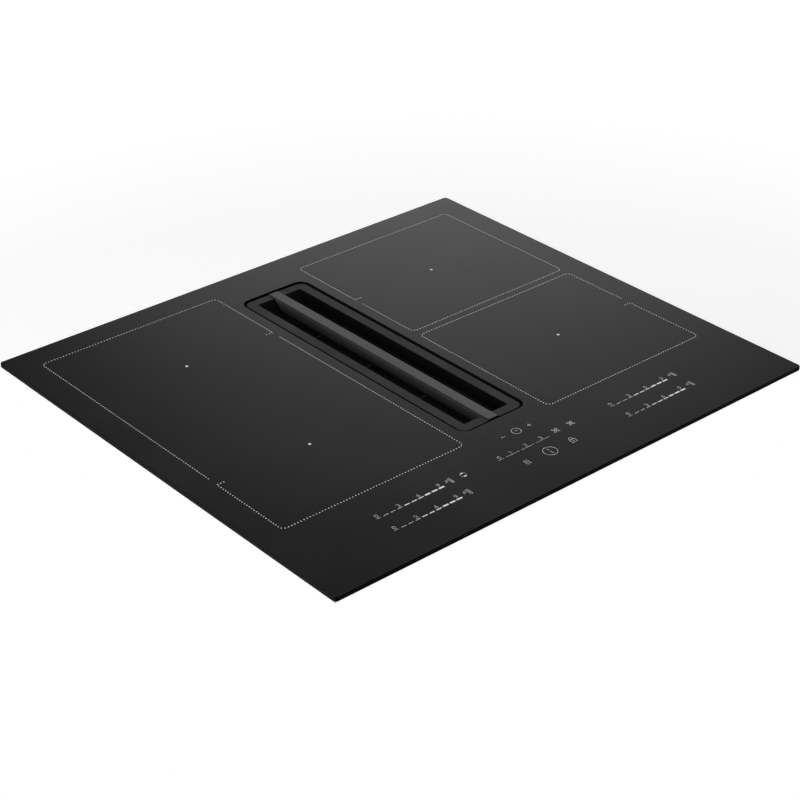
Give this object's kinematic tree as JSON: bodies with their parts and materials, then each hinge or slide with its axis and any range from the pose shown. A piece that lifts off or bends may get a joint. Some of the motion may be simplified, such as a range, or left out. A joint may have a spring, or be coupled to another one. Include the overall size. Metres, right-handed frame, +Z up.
{
  "type": "downdraft induction cooktop",
  "caption": "Built-in induction cooktop with a flat black glass top, a long slotted vent down its middle and a fan case with a flat duct outlet below.",
  "frame": {"origin": "under the centre of the glass, in the plane of the fan case's underside", "axes": "+X to the user's right, +Y away from the user towards the back edge, +Z up"},
  "size_m": [0.59, 0.52, 0.21],
  "materials": {
    "glass_ceramic": "black glass-ceramic with a satin upper face",
    "seal_foam": "closed-cell foam tape",
    "silicone": "silicone bond",
    "cast_grille": "cast aluminium with a dark satin enamel",
    "grille_bar": "extruded aluminium, dark anodised",
    "black_plastic": "moulded, heat-resistant",
    "grey_plastic": "moulded, glass-filled",
    "filter_metal": "pressed aluminium, dull",
    "zinc_steel": "zinc-plated sheet steel",
    "spring_steel": "bright spring steel",
    "aluminium": "mill finish",
    "copper_winding": "enamelled copper litz wire",
    "sensor": "silicone-capped sensor",
    "mica": "pressed mica and pale thermoset",
    "circuit_board": "green solder mask"
  },
  "bodies": {
    "hob": {"glass_top": "glass_ceramic", "worktop_seal": "seal_foam", "tray_bond": "silicone", "well_bond": "silicone", "suction_well": "black_plastic", "control_carrier": "black_plastic", "cooler_frame_left": "black_plastic", "cooler_frame_right": "black_plastic", "fan_case_lower": "black_plastic", "volute_insert": "black_plastic", "fan_case_cover": "black_plastic", "inlet_plate": "black_plastic", "duct_outlet": "black_plastic", "terminal_box": "black_plastic", "terminal_cover": "black_plastic", "cable_gland": "grey_plastic", "coil_carrier_left_back": "grey_plastic", "coil_carrier_left_front": "grey_plastic", "coil_carrier_right_back": "grey_plastic", "coil_carrier_right_front": "grey_plastic", "hob_tray": "zinc_steel", "fan_motor": "zinc_steel", "case_screw_1": "zinc_steel", "case_screw_2": "zinc_steel", "case_screw_3": "zinc_steel", "case_screw_4": "zinc_steel", "case_screw_5": "zinc_steel", "case_screw_6": "zinc_steel", "worktop_spring_left_back": "spring_steel", "worktop_spring_left_front": "spring_steel", "worktop_spring_right_back": "spring_steel", "worktop_spring_right_front": "spring_steel", "coil_plate_left": "aluminium", "coil_plate_right": "aluminium", "heat_sink_left": "aluminium", "heat_sink_right": "aluminium", "coil_winding_left_back": "copper_winding", "coil_winding_left_front": "copper_winding", "coil_winding_right_back": "copper_winding", "coil_winding_right_front": "copper_winding", "coil_sensor_left_back": "sensor", "coil_sensor_left_front": "sensor", "coil_sensor_right_back": "sensor", "coil_sensor_right_front": "sensor", "coil_insulation_left": "mica", "coil_insulation_right": "mica", "terminal_block": "mica", "power_board_left": "circuit_board", "power_board_right": "circuit_board", "control_board": "circuit_board"},
    "spill_tray": {"spill_tray": "grey_plastic"},
    "filter": {"filter_frame": "filter_metal", "filter_base": "filter_metal", "filter_pack": "filter_metal"},
    "grille": {"grille_frame": "cast_grille", "grille_bar": "grille_bar"},
    "impeller": {"impeller": "grey_plastic", "motor_shaft": "spring_steel"},
    "cooler_left": {"cooler_rotor_left": "black_plastic"},
    "cooler_right": {"cooler_rotor_right": "black_plastic"}
  },
  "joints": [
    {"name": "spill_tray_lift", "type": "slide", "parent": "hob", "child": "spill_tray", "axis": [0, 0, 1], "range_m": [0, 0.135]},
    {"name": "filter_lift", "type": "slide", "parent": "spill_tray", "child": "filter", "axis": [0, 0, 1], "range_m": [0, 0.07]},
    {"name": "grille_lift", "type": "slide", "parent": "filter", "child": "grille", "axis": [0, 0, 1], "range_m": [0, 0.04]},
    {"name": "impeller_spin", "type": "hinge", "parent": "hob", "child": "impeller", "pos_m": [0.11215, -0.01842, 0], "axis": [0, 0, 1], "continuous": true},
    {"name": "cooler_left_spin", "type": "hinge", "parent": "hob", "child": "cooler_left", "pos_m": [-0.16, -0.19, 0], "axis": [0, 0, 1], "continuous": true},
    {"name": "cooler_right_spin", "type": "hinge", "parent": "hob", "child": "cooler_right", "pos_m": [0.16, -0.19, 0], "axis": [0, 0, 1], "continuous": true}
  ]
}
